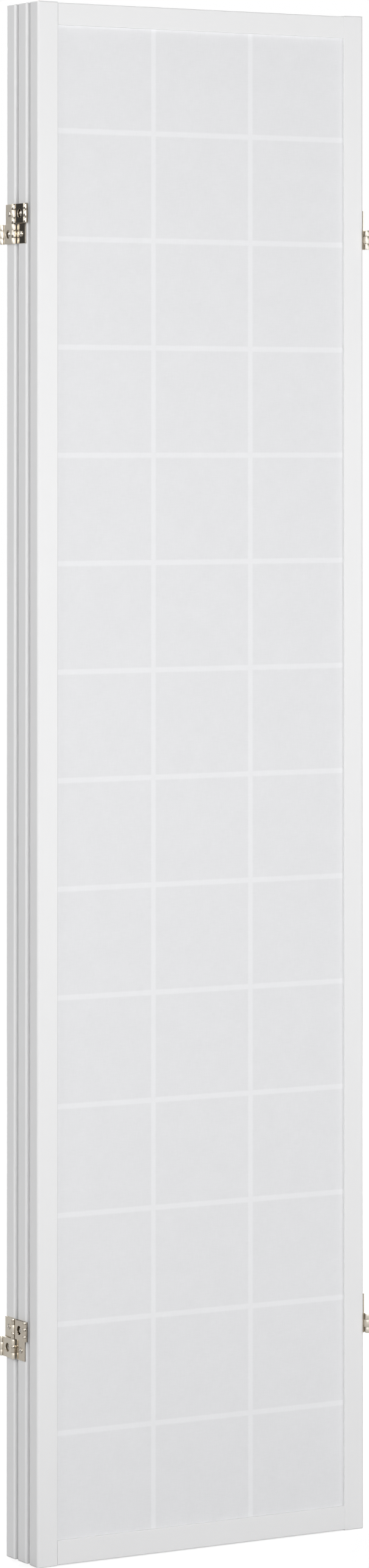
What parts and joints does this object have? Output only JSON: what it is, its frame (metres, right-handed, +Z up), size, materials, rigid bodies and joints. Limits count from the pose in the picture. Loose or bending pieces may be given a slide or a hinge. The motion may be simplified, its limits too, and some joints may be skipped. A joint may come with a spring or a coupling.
{
  "type": "folding screen",
  "caption": "Standing room divider of three wooden lattice panels with translucent paper, joined by double-action hinges that let every panel fold to either side.",
  "frame": {"origin": "on the floor, under the middle of the folded stack of panels", "axes": "+X to the right along the panels seen from the front, +Y from the front panel to the rear panel, +Z up"},
  "size_m": [0.452, 0.09, 1.79],
  "materials": {
    "painted_wood": "white satin paint on fine-grained wood",
    "bare_wood": "bare beech",
    "paper": "translucent white paper with a fine fibre texture",
    "nickel": "nickel plate, satin on the flats",
    "pin_steel": "plain bright steel",
    "screws": "bright nickel plate"
  },
  "bodies": {
    "middle_panel": {"middle_left_stile": "painted_wood", "middle_right_stile": "painted_wood", "middle_top_rail": "painted_wood", "middle_bottom_rail": "painted_wood", "middle_lattice_uprights": "painted_wood", "middle_lattice_bars": "painted_wood", "middle_paper": "paper", "middle_dowels": "bare_wood", "left_upper_middle_leaf": "nickel", "left_lower_middle_leaf": "nickel", "right_upper_middle_leaf": "nickel", "right_lower_middle_leaf": "nickel", "middle_hinge_screws": "screws"},
    "rear_panel": {"rear_left_stile": "painted_wood", "rear_right_stile": "painted_wood", "rear_top_rail": "painted_wood", "rear_bottom_rail": "painted_wood", "rear_lattice_uprights": "painted_wood", "rear_lattice_bars": "painted_wood", "rear_paper": "paper", "rear_dowels": "bare_wood", "left_upper_rear_leaf": "nickel", "left_lower_rear_leaf": "nickel", "rear_hinge_screws": "screws"},
    "front_panel": {"front_left_stile": "painted_wood", "front_right_stile": "painted_wood", "front_top_rail": "painted_wood", "front_bottom_rail": "painted_wood", "front_lattice_uprights": "painted_wood", "front_lattice_bars": "painted_wood", "front_paper": "paper", "front_dowels": "bare_wood", "right_upper_front_leaf": "nickel", "right_lower_front_leaf": "nickel", "front_hinge_screws": "screws"},
    "left_rear_links": {"left_upper_rear_link": "nickel", "left_lower_rear_link": "nickel", "left_fold_pins": "pin_steel", "left_swing_pins": "pin_steel"},
    "left_middle_links": {"left_upper_middle_link": "nickel", "left_lower_middle_link": "nickel", "left_middle_link_pins": "pin_steel", "left_stub_pins": "pin_steel"},
    "right_front_links": {"right_upper_front_link": "nickel", "right_lower_front_link": "nickel", "right_fold_pins": "pin_steel", "right_swing_pins": "pin_steel"},
    "right_middle_links": {"right_upper_middle_link": "nickel", "right_lower_middle_link": "nickel", "right_middle_link_pins": "pin_steel", "right_stub_pins": "pin_steel"}
  },
  "joints": [
    {"name": "left_fold", "type": "hinge", "parent": "middle_panel", "child": "left_rear_links", "pos_m": [-0.223, 0.014, 0], "axis": [0, 0, 1], "range_deg": [0, 180]},
    {"name": "left_swing", "type": "hinge", "parent": "left_rear_links", "child": "rear_panel", "pos_m": [-0.223, 0.042, 0], "axis": [0, 0, 1], "range_deg": [0, 90]},
    {"name": "left_middle_link_turn", "type": "hinge", "parent": "middle_panel", "child": "left_middle_links", "pos_m": [-0.223, -0.014, 0], "axis": [0, 0, 1], "range_deg": [0, 90]},
    {"name": "right_fold", "type": "hinge", "parent": "middle_panel", "child": "right_front_links", "pos_m": [0.223, -0.014, 0], "axis": [0, 0, 1], "range_deg": [0, 180]},
    {"name": "right_swing", "type": "hinge", "parent": "right_front_links", "child": "front_panel", "pos_m": [0.223, -0.042, 0], "axis": [0, 0, 1], "range_deg": [0, 90]},
    {"name": "right_middle_link_turn", "type": "hinge", "parent": "middle_panel", "child": "right_middle_links", "pos_m": [0.223, 0.014, 0], "axis": [0, 0, 1], "range_deg": [0, 90]}
  ],
  "couplings": [
    {"joint": "left_middle_link_turn", "follows": "left_swing", "ratio": 1},
    {"joint": "right_middle_link_turn", "follows": "right_swing", "ratio": 1}
  ]
}
